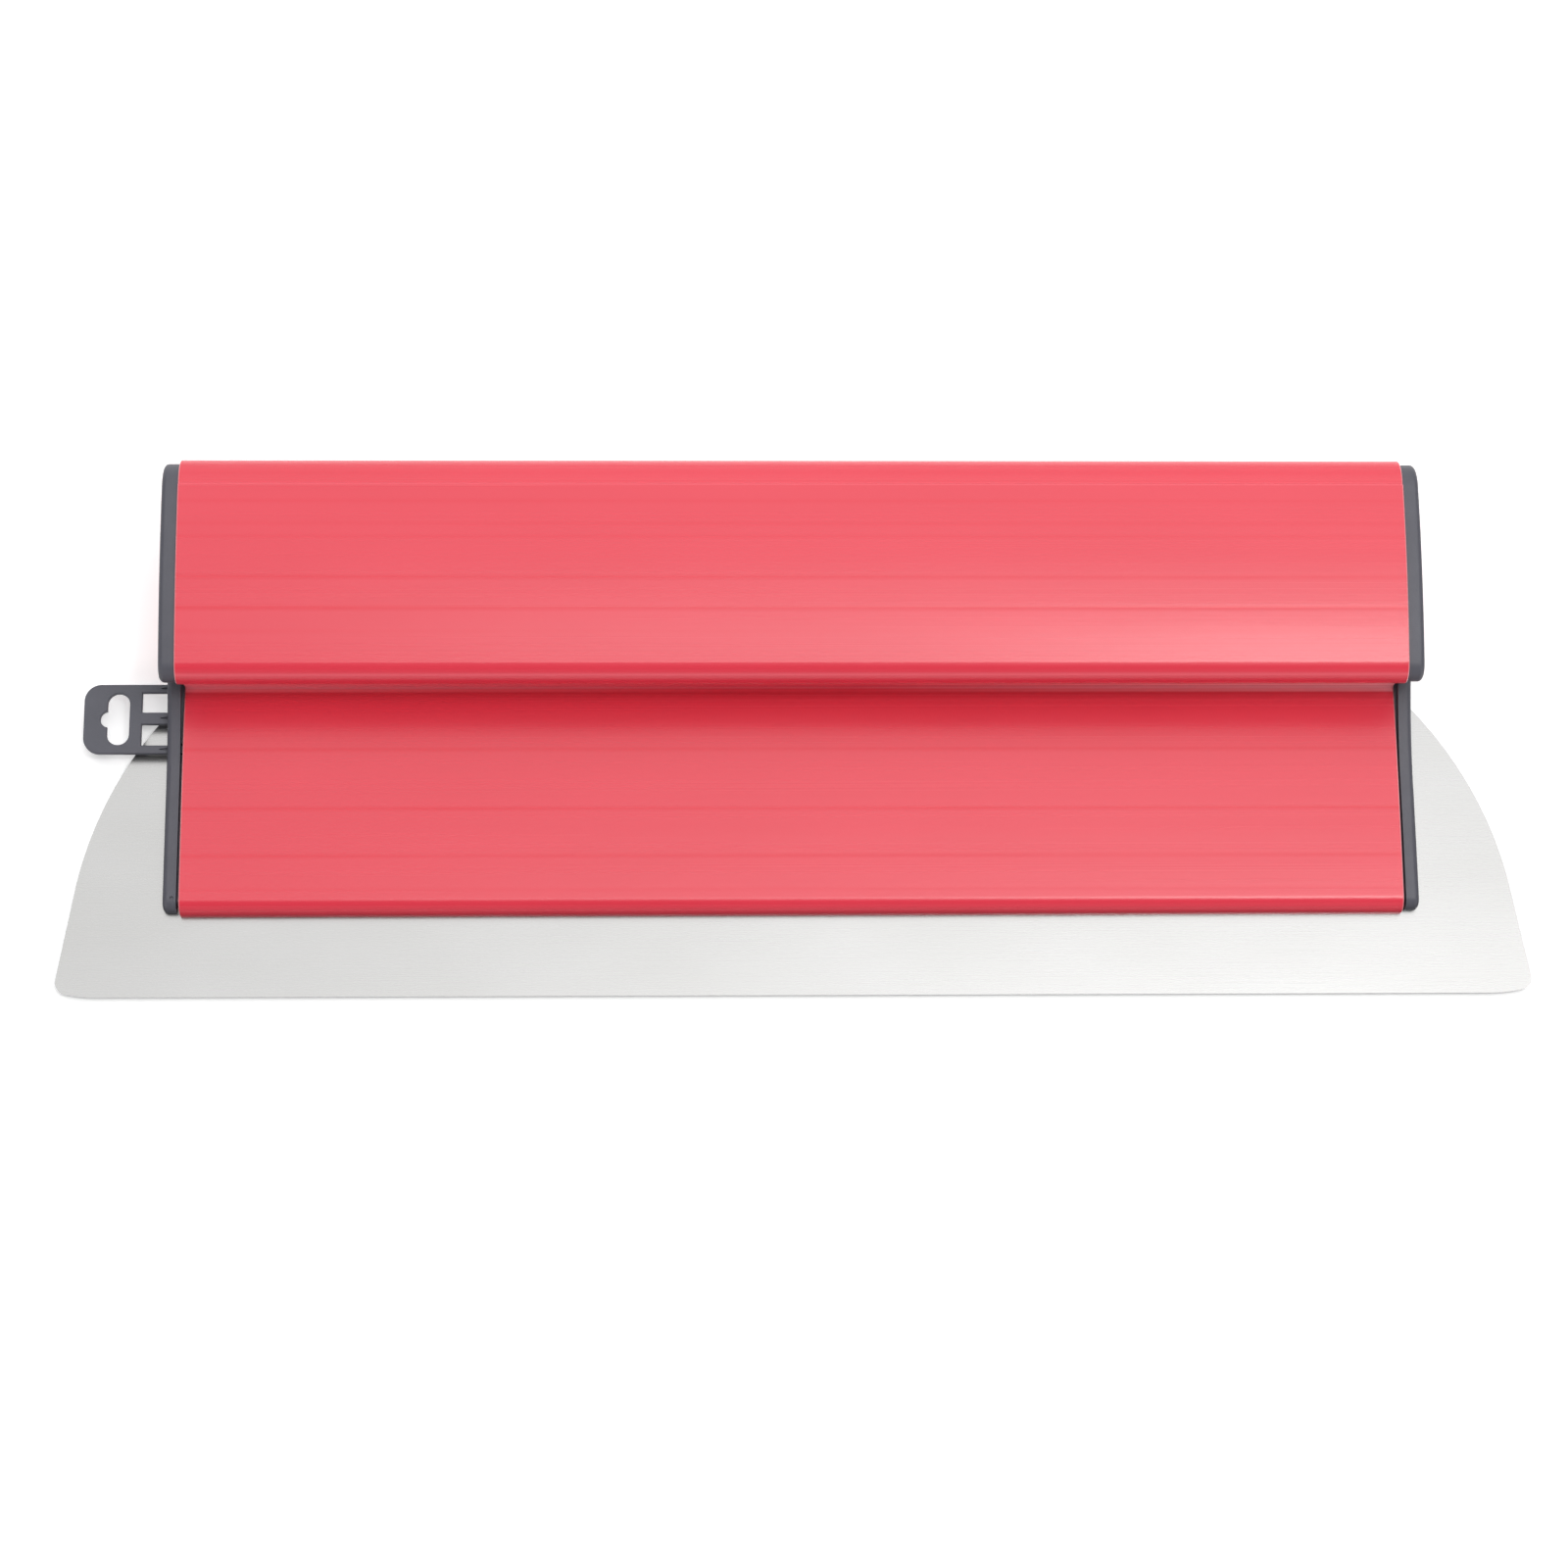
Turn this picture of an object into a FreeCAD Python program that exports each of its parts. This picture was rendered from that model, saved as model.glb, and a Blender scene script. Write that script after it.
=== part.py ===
import math
import os

import FreeCAD
import Part
import Sketcher
from FreeCAD import Vector

# Skimming trowel: a hollow S-section aluminium handle, a wide thin blade clamped to its
# back by a flat strip, a moulded cap on each end and a plug-in hang tag in the left cap.
# X runs along the blade, +Y from the blade's working edge towards the top of the grip,
# +Z from the surface that the tool lies on towards its front. Millimetres.
# The origin is the middle of the handle's length, 72 mm from the blade's working edge and
# 71 mm from the top of the grip, on the surface that the tool lies on.

SIZES = {
    # Handle, an extrusion with one section all along X
    "handle_length": 332.0,
    "mount_face_z": 2.4,         # back of the lower plate, which the blade lies against
    "plate_low_y": -50.0,        # lower edge of the lower plate
    "plate_nose_rad": 4.0,
    "plate_nose_z": 4.2,         # centre height of the lower edge's rounding
    "plate_crown_rad": 900.0,
    "valley_z": 10.1,            # front of the lower plate where it meets the step wall
    "valley_rad": 0.5,
    "wall_y": 12.6,              # front face of the step wall
    "neck_back_y": 20.0,         # back face of the step wall
    "neck_edge_rad": 1.0,
    "neck_inner_rad": 6.0,
    "bar_nose_rad": 5.3,         # rounding of the grip bar's lower edge
    "bar_crest_y": 61.6,         # where the grip bar's front is highest
    "bar_crest_z": 38.1,
    "bar_crown_rad": 240.0,
    "bar_top_y": 71.0,
    "bar_top_rad": 8.2,
    "ledge_depth": 0.5,          # step down behind the front, before the rounded top
    "end_chamfer": 0.25,
    "skin": 1.4,
    "web_y": 38.5,               # web between the grip bar's two chambers
    "port_rad": 1.45,            # screw ports that take the cap screws
    "port_wall": 1.7,
    # Row of blade screws, threaded into a solid rib of the lower plate
    "screw_row_y": -11.0,
    "screw_count": 8.0,
    "screw_pitch": 44.0,
    "screw_rib_width": 9.2,
    "screw_rad": 2.0,
    "screw_head_rad": 3.6,
    "screw_head_rim": 0.25,
    "screw_head_depth": 0.1,     # head below the strip's face
    "screw_length": 8.0,
    "tapped_hole_top_z": 8.3,
    "hole_gap": 0.05,
    "key_across": 2.5,
    "key_depth": 1.1,
    # Blade
    "blade_length": 400.0,
    "blade_thick": 0.4,
    "blade_edge_y": -72.0,
    "blade_corner_rad": 3.6,
    "blade_ease_run": 8.0,       # the working edge curves up a little before each corner
    "blade_ease_rad": 36.0,
    "blade_taper_y": -40.0,      # top of the straight, tapered part of each side
    "blade_taper_x": 195.2,
    "blade_side_rad": 104.0,
    "blade_top_y": 18.0,
    "blade_top_x": 161.6,
    "blade_shift": 0.9,          # the sheet sits this far to the right of the handle's middle
    # Clamp strip
    "strip_length": 328.0,
    "strip_low_y": -30.0,
    "strip_top_y": 18.0,
    "strip_chamfer": 0.6,
    # End caps
    "cap_seat": 0.8,             # layer between the flange and the handle's end
    "cap_seat_inset": 2.8,       # on the lower plate, where it leaves a dark joint line
    "cap_flange": 3.7,
    "cap_inset": 0.9,
    "cap_nose_rad": 4.8,         # fuller than the inset alone would leave it
    "cap_edge_rad": 1.4,
    "cap_back_gap": 0.4,         # between the cap and the blade
    "cap_ramp_y": -18.0,         # where the gusset in the valley starts
    "cap_ramp_rise": 5.0,
    "cap_ramp_rad": 92.0,
    "plug_depth": 8.0,
    "plug_gap": 0.2,
    "plug_wall": 1.3,
    "cap_screw_head_rad": 2.75,
    "cap_screw_head_rim": 0.2,
    "cap_screw_sink": 0.3,
    "cap_screw_length": 16.0,
    "cap_key_across": 2.0,
    "cap_key_depth": 0.9,
    "gate_mark_y": -45.8,        # round moulding mark near the left cap's lower corner
    "gate_mark_rad": 0.55,
    "gate_mark_depth": 0.4,
    # Hang tag
    "tag_thick": 1.6,
    "tag_z": 5.4,
    "tag_left_x": -193.6,
    "tag_mid_y": 4.7,
    "tag_height": 19.7,
    "tag_corner_rad": 4.6,
    "tag_edge_rad": 0.35,
    "euro_slot_x": -184.2,
    "euro_slot_width": 6.0,
    "euro_slot_height": 14.6,
    "euro_bump_rad": 2.3,
    "euro_bump_shift": 2.6,
    "prong_root_x": -177.8,
    "prong_reach": 12.0,         # how far the prongs go into the cap
    "side_prong_width": 2.4,
    "mid_prong_width": 3.4,
    "mid_prong_shift": 0.2,      # the middle prong sits above the tag's middle
    "prong_barb_width": 1.5,
    "prong_barb_length": 4.5,
    "prong_barb_depth": 0.6,
    "prong_gap": 0.3,
    "socket_depth": 10.0,
}

SIDES = (("left", -1), ("right", 1))
SHAPE_TOLERANCE = 1e-4


class Dim:
    """A length with the spreadsheet expression that it is bound to."""

    def __init__(self, value, text):
        self.value = value
        self.text = text

    def __add__(self, other):
        other = dim(other)
        return Dim(self.value + other.value, f"({self.text} + {other.text})")

    def __sub__(self, other):
        other = dim(other)
        return Dim(self.value - other.value, f"({self.text} - {other.text})")

    def __mul__(self, other):
        other = dim(other)
        return Dim(self.value * other.value, f"({self.text} * {other.text})")

    def __truediv__(self, other):
        other = dim(other)
        return Dim(self.value / other.value, f"({self.text} / {other.text})")

    def __rsub__(self, other):
        return dim(other) - self

    def __neg__(self):
        return dim(0) - self

    __radd__ = __add__
    __rmul__ = __mul__


def dim(value):
    """A plain number as a Dim; a Dim as it is."""
    if isinstance(value, Dim):
        return value
    text = f"{value}" if value >= 0 else f"(0 - {-value})"
    return Dim(value, text)


def root(value):
    return Dim(math.sqrt(value.value), f"sqrt({value.text})")


def size(alias):
    return Dim(SIZES[alias], "Sizes." + alias)


def add_sheet(doc):
    sheet = doc.addObject("Spreadsheet::Sheet", "Sizes")
    for row, (alias, value) in enumerate(SIZES.items(), start=1):
        sheet.set(f"A{row}", alias.replace("_", " "))
        sheet.set(f"B{row}", str(value))
        sheet.setAlias(f"B{row}", alias)
    doc.recompute()


# ---------------------------------------------------------------- sketches


def new_sketch(body, name, role, offset):
    """A sketch on one of the body's own origin planes, moved along the plane's normal."""
    sketch = body.newObject("Sketcher::SketchObject", name)
    plane = next(item for item in body.Origin.OriginFeatures if item.Role == role)
    sketch.AttachmentSupport = [(plane, "")]
    sketch.MapMode = "FlatFace"
    sketch.setExpression("AttachmentOffset.Base.z", dim(offset).text)
    return sketch


def bind(sketch, kind, elements, length):
    """A dimensional constraint whose value comes from the sheet."""
    index = sketch.addConstraint(Sketcher.Constraint(kind, *elements, length.value))
    name = f"size_{index}"
    sketch.renameConstraint(index, name)
    sketch.setExpression("Constraints." + name, length.text)


def join(sketch, first, first_point, second, second_point):
    ends = (first, first_point, second, second_point)
    sketch.addConstraint(Sketcher.Constraint("Coincident", *ends))


def arc_shape(start, end, radius, side):
    """A minor arc from start to end; side 1 bulges to the left of the way there. A sketch
    keeps its arcs anticlockwise, so one that bulges left runs from end to start."""
    chord = end - start
    half = chord.Length / 2
    left = Vector(-chord.y, chord.x, 0).normalize()
    depth = math.sqrt(max(radius * radius - half * half, 0.0))
    centre = (start + end) * 0.5 - left * (depth * side)
    first, last = (end, start) if side > 0 else (start, end)
    angles = [math.atan2(point.y - centre.y, point.x - centre.x) for point in (first, last)]
    if angles[1] < angles[0]:
        angles[1] += 2 * math.pi
    return Part.ArcOfCircle(Part.Circle(centre, Vector(0, 0, 1), radius), *angles)


def trace(sketch, steps):
    """A closed outline. Each step is (u, v), reached by a straight line from the step
    before, or (u, v, radius, side), reached by an arc."""
    count = len(steps)
    corners = [Vector(dim(step[0]).value, dim(step[1]).value, 0) for step in steps]
    ends = []
    radii = []
    for index, step in enumerate(steps):
        start = corners[index - 1]
        end = corners[index]
        if len(step) == 2:
            geometry = sketch.addGeometry(Part.LineSegment(start, end))
            ends.append((geometry, 1, 2))
        else:
            radius = dim(step[2])
            shape = arc_shape(start, end, radius.value, step[3])
            geometry = sketch.addGeometry(shape)
            ends.append((geometry, 2, 1) if step[3] > 0 else (geometry, 1, 2))
            radii.append((geometry, radius))
    for index in range(count):
        before, here = ends[index - 1], ends[index]
        join(sketch, before[0], before[2], here[0], here[1])
    for (geometry, first_point, last_point), step in zip(ends, steps):
        bind(sketch, "DistanceX", (geometry, last_point), dim(step[0]))
        bind(sketch, "DistanceY", (geometry, last_point), dim(step[1]))
    for geometry, radius in radii:
        bind(sketch, "Radius", (geometry,), radius)


def circle(sketch, u, v, radius):
    u, v, radius = dim(u), dim(v), dim(radius)
    shape = Part.Circle(Vector(u.value, v.value, 0), Vector(0, 0, 1), radius.value)
    geometry = sketch.addGeometry(shape)
    bind(sketch, "DistanceX", (geometry, 3), u)
    bind(sketch, "DistanceY", (geometry, 3), v)
    bind(sketch, "Radius", (geometry,), radius)


def rectangle(sketch, low_u, high_u, low_v, high_v):
    trace(sketch, [(low_u, low_v), (high_u, low_v), (high_u, high_v), (low_u, high_v)])


def hexagon(sketch, u, v, across):
    """A hexagon of the given width across its flats."""
    reach = dim(across) / math.sqrt(3)
    corners = [math.radians(60 * number) for number in range(6)]
    trace(sketch, [(u + reach * math.cos(a), v + reach * math.sin(a)) for a in corners])


# ---------------------------------------------------------------- features


def new_body(doc, name):
    body = doc.addObject("PartDesign::Body", name)
    body.Label = name
    return body


def pad(body, sketch, length, backward=False):
    feature = body.newObject("PartDesign::Pad", sketch.Name + "_pad")
    feature.Profile = sketch
    feature.setExpression("Length", dim(length).text)
    feature.Reversed = backward
    sketch.Document.recompute()
    return feature


def pocket(body, sketch, length, backward=False):
    """A cut along the sketch's normal, or against it when backward."""
    before = body.Shape.Volume
    feature = body.newObject("PartDesign::Pocket", sketch.Name + "_pocket")
    feature.Profile = sketch
    feature.setExpression("Length", dim(length).text)
    feature.Reversed = not backward
    sketch.Document.recompute()
    if body.Shape.Volume > before - SHAPE_TOLERANCE:
        raise RuntimeError(f"{feature.Name} cuts nothing")
    return feature


def revolve(body, sketch, axis, cut=False):
    kind = "PartDesign::Groove" if cut else "PartDesign::Revolution"
    feature = body.newObject(kind, sketch.Name + "_turned")
    feature.Profile = sketch
    feature.ReferenceAxis = (sketch, [axis])
    feature.Angle = 360
    sketch.Document.recompute()
    return feature


def repeat_along_row(body, feature, sketch, axis="H_Axis"):
    """The feature at every screw place, from the first one on."""
    pattern = body.newObject("PartDesign::LinearPattern", feature.Name + "_row")
    pattern.Originals = [feature]
    pattern.Direction = (sketch, [axis])
    span = size("screw_pitch") * (size("screw_count") - 1)
    pattern.setExpression("Length", span.text)
    pattern.setExpression("Occurrences", size("screw_count").text)
    body.Tip = pattern
    sketch.Document.recompute()
    return pattern


def edges_at_x(shape, place):
    """Names of the edges that lie in the plane X = place."""
    names = []
    for number, edge in enumerate(shape.Edges, start=1):
        box = edge.BoundBox
        if abs(box.XMin - place) < SHAPE_TOLERANCE and abs(box.XMax - place) < SHAPE_TOLERANCE:
            names.append(f"Edge{number}")
    return names


def edges_at_z(shape, places):
    """Names of the edges that lie in one of the planes Z = place."""
    names = []
    for number, edge in enumerate(shape.Edges, start=1):
        box = edge.BoundBox
        if box.ZLength < SHAPE_TOLERANCE:
            if any(abs(box.ZMin - place) < SHAPE_TOLERANCE for place in places):
                names.append(f"Edge{number}")
    return names


def dress(body, kind, names, property_name, length):
    """A fillet or chamfer on the named edges of the body's last feature."""
    base = body.Tip
    feature = body.newObject(kind, base.Name + "_" + property_name.lower())
    feature.Base = (base, names)
    feature.setExpression(property_name, dim(length).text)
    body.Tip = feature
    body.Document.recompute()
    return feature


# ---------------------------------------------------------------- handle section


def bar_centre():
    """Centre of the rounding at the top of the grip bar."""
    centre_y = size("bar_top_y") - size("bar_top_rad")
    centre_z = size("bar_crest_z") - size("ledge_depth") - size("bar_top_rad")
    return centre_y, centre_z


def nose_direction():
    """Outward direction where the grip bar's front meets its lower rounding."""
    sine = (size("bar_crest_y") - size("wall_y")) / size("bar_crown_rad")
    cosine = root(1 - sine * sine)
    return -sine, cosine


def nose_centre(inset=0, radius=None):
    """Centre of the rounding at the grip bar's lower edge, under a front that is inset."""
    across, up = nose_direction()
    reach = size("bar_crown_rad") - inset - (radius or size("bar_nose_rad"))
    crown_centre_z = size("bar_crest_z") - size("bar_crown_rad")
    return size("bar_crest_y") + across * reach, crown_centre_z + up * reach


def crown_z(place_y, inset):
    """Height of the grip bar's front at place_y, inset from its surface."""
    crown_centre_z = size("bar_crest_z") - size("bar_crown_rad")
    reach = size("bar_crown_rad") - inset
    along = size("bar_crest_y") - place_y
    return crown_centre_z + root(reach * reach - along * along)


def plate_steps(inset, back_z):
    """Back corner and rounded lower edge of the lower plate."""
    low_y = size("plate_low_y") + inset
    nose = size("plate_nose_rad") - inset
    nose_z = size("plate_nose_z")
    return [(low_y, back_z), (low_y, nose_z), (low_y + nose, nose_z + nose, nose, 1)]


def valley_steps(inset):
    """Crowned front of the lower plate, up to the foot of the step wall."""
    wall_y = size("wall_y") + inset
    valley_z = size("valley_z") - inset
    fillet = size("valley_rad")
    return [
        (wall_y - fillet, valley_z, size("plate_crown_rad") - inset, 1),
        (wall_y, valley_z + fillet, fillet, -1),
    ]


def ramp_steps(inset):
    """Front of the lower plate with a gusset that fills the corner at the wall."""
    start_y = size("cap_ramp_y")
    plate_z = size("plate_nose_z") + size("plate_nose_rad") - inset
    start_z = plate_z + (size("valley_z") - size("plate_nose_z") - size("plate_nose_rad")) / 2
    wall_y = size("wall_y") + inset
    return [
        (start_y, start_z, size("plate_crown_rad") - inset, 1),
        (wall_y, start_z + size("cap_ramp_rise"), size("cap_ramp_rad"), -1),
    ]


def bar_front_steps(inset, radius):
    """Step wall, rounded lower edge of the grip bar and its crowned front."""
    wall_y = size("wall_y") + inset
    centre_y, centre_z = nose_centre(inset, radius)
    across, up = nose_direction()
    drop = centre_y - wall_y
    meet_z = centre_z - root(radius * radius - drop * drop)
    return [
        (wall_y, meet_z),
        (centre_y - radius, centre_z, radius, 1),
        (centre_y + across * radius, centre_z + up * radius, radius, 1),
        (size("bar_crest_y"), size("bar_crest_z") - inset, size("bar_crown_rad") - inset, 1),
    ]


def ledge_steps():
    """Low ledge along the top of the grip bar's front, then the rounded top."""
    centre_y, centre_z = bar_centre()
    radius = size("bar_top_rad")
    foot_y = size("bar_crest_y") + size("ledge_depth")
    along = foot_y - centre_y
    return [
        (foot_y, centre_z + root(radius * radius - along * along)),
        (centre_y + radius, centre_z, radius, 1),
    ]


def bar_back_steps(inset):
    """Lower half of the grip bar's rounded top, its flat back and the back of the wall."""
    centre_y, centre_z = bar_centre()
    radius = size("bar_top_rad") - inset
    back_y = size("neck_back_y") - inset
    fillet = size("neck_inner_rad") + inset
    turn_y = size("neck_back_y") + size("neck_inner_rad")
    return [
        (centre_y, centre_z - radius, radius, 1),
        (turn_y, centre_z - radius),
        (back_y, centre_z - radius - fillet, fillet, -1),
    ]


def handle_outline():
    back_z = size("mount_face_z")
    edge = size("neck_edge_rad")
    back_y = size("neck_back_y")
    steps = plate_steps(0, back_z) + valley_steps(0)
    steps += bar_front_steps(0, size("bar_nose_rad")) + ledge_steps() + bar_back_steps(0)
    steps += [(back_y, back_z + edge), (back_y - edge, back_z, edge, 1)]
    return steps


def cap_outline(plate_inset):
    """Outline of a cap layer, inset from the handle's section and clear of the blade."""
    back_z = size("mount_face_z") + size("cap_back_gap")
    centre_y, centre_z = bar_centre()
    inset = size("cap_inset")
    steps = plate_steps(plate_inset, back_z) + ramp_steps(plate_inset)
    steps += bar_front_steps(inset, size("cap_nose_rad"))
    # The cap has no ledge: one arc, level at the crest, reaches the top of the bar
    top_y = centre_y + size("bar_top_rad") - inset
    run = top_y - size("bar_crest_y")
    drop = size("bar_crest_z") - inset - centre_z
    steps.append((top_y, centre_z, (run * run + drop * drop) / (drop * 2), 1))
    steps += bar_back_steps(inset)
    steps.append((size("neck_back_y") - inset, back_z))
    return steps


def lower_front_z(inset):
    """Height inside the lower plate that stays clear of its crowned front."""
    return size("plate_nose_z") + size("plate_nose_rad") - inset


def rib_sides():
    half = size("screw_rib_width") / 2
    return size("screw_row_y") - half, size("screw_row_y") + half


# ---------------------------------------------------------------- pieces


def make_handle(doc):
    body = new_body(doc, "handle_profile")
    length = size("handle_length")
    start = -length / 2
    section = new_sketch(body, "handle_section", "YZ_Plane", start)
    trace(section, handle_outline())
    pad(body, section, length)
    ends = edges_at_x(body.Shape, start.value) + edges_at_x(body.Shape, -start.value)
    dress(body, "PartDesign::Chamfer", ends, "Size", size("end_chamfer"))

    skin = size("skin")
    back_z = size("mount_face_z") + skin
    rib_low, rib_high = rib_sides()
    bar_y, bar_z = bar_centre()
    bar_low_z = bar_z - size("bar_top_rad") + skin
    web_low = size("web_y") - skin / 2
    web_high = size("web_y") + skin / 2
    inner_y = size("neck_back_y") - skin
    turn_y = size("neck_back_y") + size("neck_inner_rad")
    turn = size("neck_inner_rad") + skin
    nose_y, nose_z = nose_centre()
    nose_side = nose_y + size("bar_nose_rad") + skin / 2
    wall_in = size("wall_y") + skin

    chambers = new_sketch(body, "handle_chambers", "YZ_Plane", start)
    low_side = size("plate_low_y") + size("plate_nose_rad") + size("plate_nose_rad")
    rectangle(chambers, low_side, rib_low, back_z, lower_front_z(skin))
    trace(chambers, [
        (rib_high, back_z),
        (inner_y, back_z),
        (inner_y, bar_low_z - turn),
        (turn_y, bar_low_z, turn, 1),
        (web_low, bar_low_z),
        (web_low, crown_z(web_low, skin)),
        (nose_side, crown_z(nose_side, skin), size("bar_crown_rad") - skin, 1),
        (nose_side, nose_z),
        (wall_in, nose_z - size("bar_nose_rad") - skin),
        (wall_in, size("valley_z") - skin),
        (rib_high, size("valley_z") - skin - skin / 4),
    ])
    inner = size("bar_top_rad") - skin
    trace(chambers, [
        (web_high, bar_low_z),
        (bar_y, bar_low_z),
        (bar_y + inner, bar_z, inner, -1),
        (bar_y, bar_z + inner, inner, -1),
        (web_high, bar_z + inner),
    ])
    pocket(body, chambers, length)

    port = size("port_rad")
    boss = new_sketch(body, "top_port_wall", "YZ_Plane", start)
    circle(boss, port_top_y(), bar_z, port + size("port_wall"))
    pad(body, boss, length)
    ports = new_sketch(body, "screw_ports", "YZ_Plane", start)
    circle(ports, nose_y, nose_z, port)
    circle(ports, port_top_y(), bar_z, port)
    pocket(body, ports, length)

    tapped = new_sketch(body, "tapped_hole", "XY_Plane", size("mount_face_z"))
    circle(tapped, first_screw_x(), size("screw_row_y"), size("screw_rad") + size("hole_gap"))
    hole = pocket(body, tapped, size("tapped_hole_top_z") - size("mount_face_z"))
    repeat_along_row(body, hole, tapped)
    return body


def port_top_y():
    """The top screw port stands against the inside of the rounded top."""
    inner = size("bar_top_rad") - size("skin")
    centre_y, centre_z = bar_centre()
    return centre_y + inner - size("port_rad") - size("port_wall") / 2


def first_screw_x():
    return -(size("screw_pitch") * (size("screw_count") - 1)) / 2


def make_blade(doc):
    body = new_body(doc, "blade")
    half = size("blade_length") / 2
    edge_y = size("blade_edge_y")
    corner = size("blade_corner_rad")
    taper_x, taper_y = size("blade_taper_x"), size("blade_taper_y")
    top_x, top_y = size("blade_top_x"), size("blade_top_y")
    side = size("blade_side_rad")
    shift = size("blade_shift")
    # The eased end of the working edge runs into the corner without a kink
    run, ease = size("blade_ease_run"), size("blade_ease_rad")
    sine = run / ease
    cosine = root(1 - sine * sine)
    eased_x = half - corner + corner * sine
    eased_y = edge_y + ease - ease * cosine
    side_y = eased_y + corner * cosine
    outline = new_sketch(body, "blade_outline", "XY_Plane", blade_back_z())
    trace(outline, [
        (shift + eased_x - run, edge_y),
        (shift + eased_x, eased_y, ease, -1),
        (shift + half, side_y, corner, -1),
        (shift + taper_x, taper_y),
        (shift + top_x, top_y, side, -1),
        (shift - top_x, top_y),
        (shift - taper_x, taper_y, side, -1),
        (shift - half, side_y),
        (shift - eased_x, eased_y, corner, -1),
        (shift - eased_x + run, edge_y, ease, -1),
    ])
    pad(body, outline, size("blade_thick"))
    screw_hole = new_sketch(body, "blade_hole", "XY_Plane", blade_back_z())
    radius = size("screw_rad") + size("hole_gap") * 3
    circle(screw_hole, first_screw_x(), size("screw_row_y"), radius)
    hole = pocket(body, screw_hole, size("blade_thick"))
    repeat_along_row(body, hole, screw_hole)
    return body


def blade_back_z():
    return size("mount_face_z") - size("blade_thick")


def make_clamp_strip(doc):
    body = new_body(doc, "blade_clamp_strip")
    half = size("strip_length") / 2
    plan = new_sketch(body, "strip_plan", "XY_Plane", 0)
    rectangle(plan, -half, half, size("strip_low_y"), size("strip_top_y"))
    pad(body, plan, blade_back_z())
    names = edges_at_z(body.Shape, [0.0])
    dress(body, "PartDesign::Chamfer", names, "Size", size("strip_chamfer"))

    # Countersunk holes: a cone for the head, then a plain hole
    gap = size("hole_gap")
    head = size("screw_head_rad") + gap
    shank = size("screw_rad") + gap
    rim = size("screw_head_depth") + size("screw_head_rim")
    section = new_sketch(body, "countersink", "XZ_Plane", -size("screw_row_y"))
    x = first_screw_x()
    trace(section, [
        (x, 0),
        (x + head, 0),
        (x + head, rim),
        (x + shank, rim + head - shank),
        (x + shank, blade_back_z()),
        (x, blade_back_z()),
    ])
    axis = section.addGeometry(Part.LineSegment(Vector(x.value, 0, 0), Vector(x.value, 1, 0)))
    section.setConstruction(axis, True)
    bind(section, "DistanceX", (axis, 1), x)
    bind(section, "DistanceX", (axis, 2), x)
    bind(section, "DistanceY", (axis, 1), dim(0))
    bind(section, "DistanceY", (axis, 2), blade_back_z())
    sink = revolve(body, section, "Axis0", cut=True)
    repeat_along_row(body, sink, section)
    return body


def screw_section(sketch, head, rim, shank, length):
    """Half section of a countersunk screw, head at v = 0, turned about the v axis."""
    point = shank * 0.5
    trace(sketch, [
        (0, 0),
        (head, 0),
        (head, rim),
        (shank, rim + head - shank),
        (shank, length - point),
        (shank - point, length),
        (0, length),
    ])


def make_blade_screws(doc):
    """Countersunk screws, heads on the back of the strip."""
    screws = []
    for number in range(int(SIZES["screw_count"])):
        body = new_body(doc, f"blade_screw_{number + 1}")
        section = new_sketch(body, f"blade_screw_section_{number + 1}", "XZ_Plane", 0)
        head, shank = size("screw_head_rad"), size("screw_rad")
        screw_section(section, head, size("screw_head_rim"), shank, size("screw_length"))
        revolve(body, section, "V_Axis")
        key = new_sketch(body, f"blade_screw_key_{number + 1}", "XY_Plane", 0)
        hexagon(key, dim(0), dim(0), size("key_across"))
        pocket(body, key, size("key_depth"))
        x = first_screw_x() + size("screw_pitch") * number
        body.setExpression("Placement.Base.x", x.text)
        body.setExpression("Placement.Base.y", size("screw_row_y").text)
        body.setExpression("Placement.Base.z", size("screw_head_depth").text)
        screws.append(body)
    return screws


def plug(body, name, side, box, depth, hollow=True):
    """A tubular plug that reaches into one of the handle's chambers."""
    low_y, high_y, low_z, high_z = box
    end = size("handle_length") / 2 * side
    inward = side > 0
    outside = new_sketch(body, name, "YZ_Plane", end)
    rectangle(outside, low_y, high_y, low_z, high_z)
    pad(body, outside, depth, backward=inward)
    if hollow:
        wall = size("plug_wall")
        floor = size("plug_wall") * side
        inside = new_sketch(body, name + "_hollow", "YZ_Plane", end - floor)
        rectangle(inside, low_y + wall, high_y - wall, low_z + wall, high_z - wall)
        pocket(body, inside, depth, backward=inward)


def cap_screw_places():
    nose_y, nose_z = nose_centre()
    centre_y, centre_z = bar_centre()
    return [(nose_y, nose_z), (port_top_y(), centre_z)]


def cap_face_x():
    """Distance of the caps' outer faces from the middle of the tool."""
    return size("handle_length") / 2 + size("cap_seat") + size("cap_flange")


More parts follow.
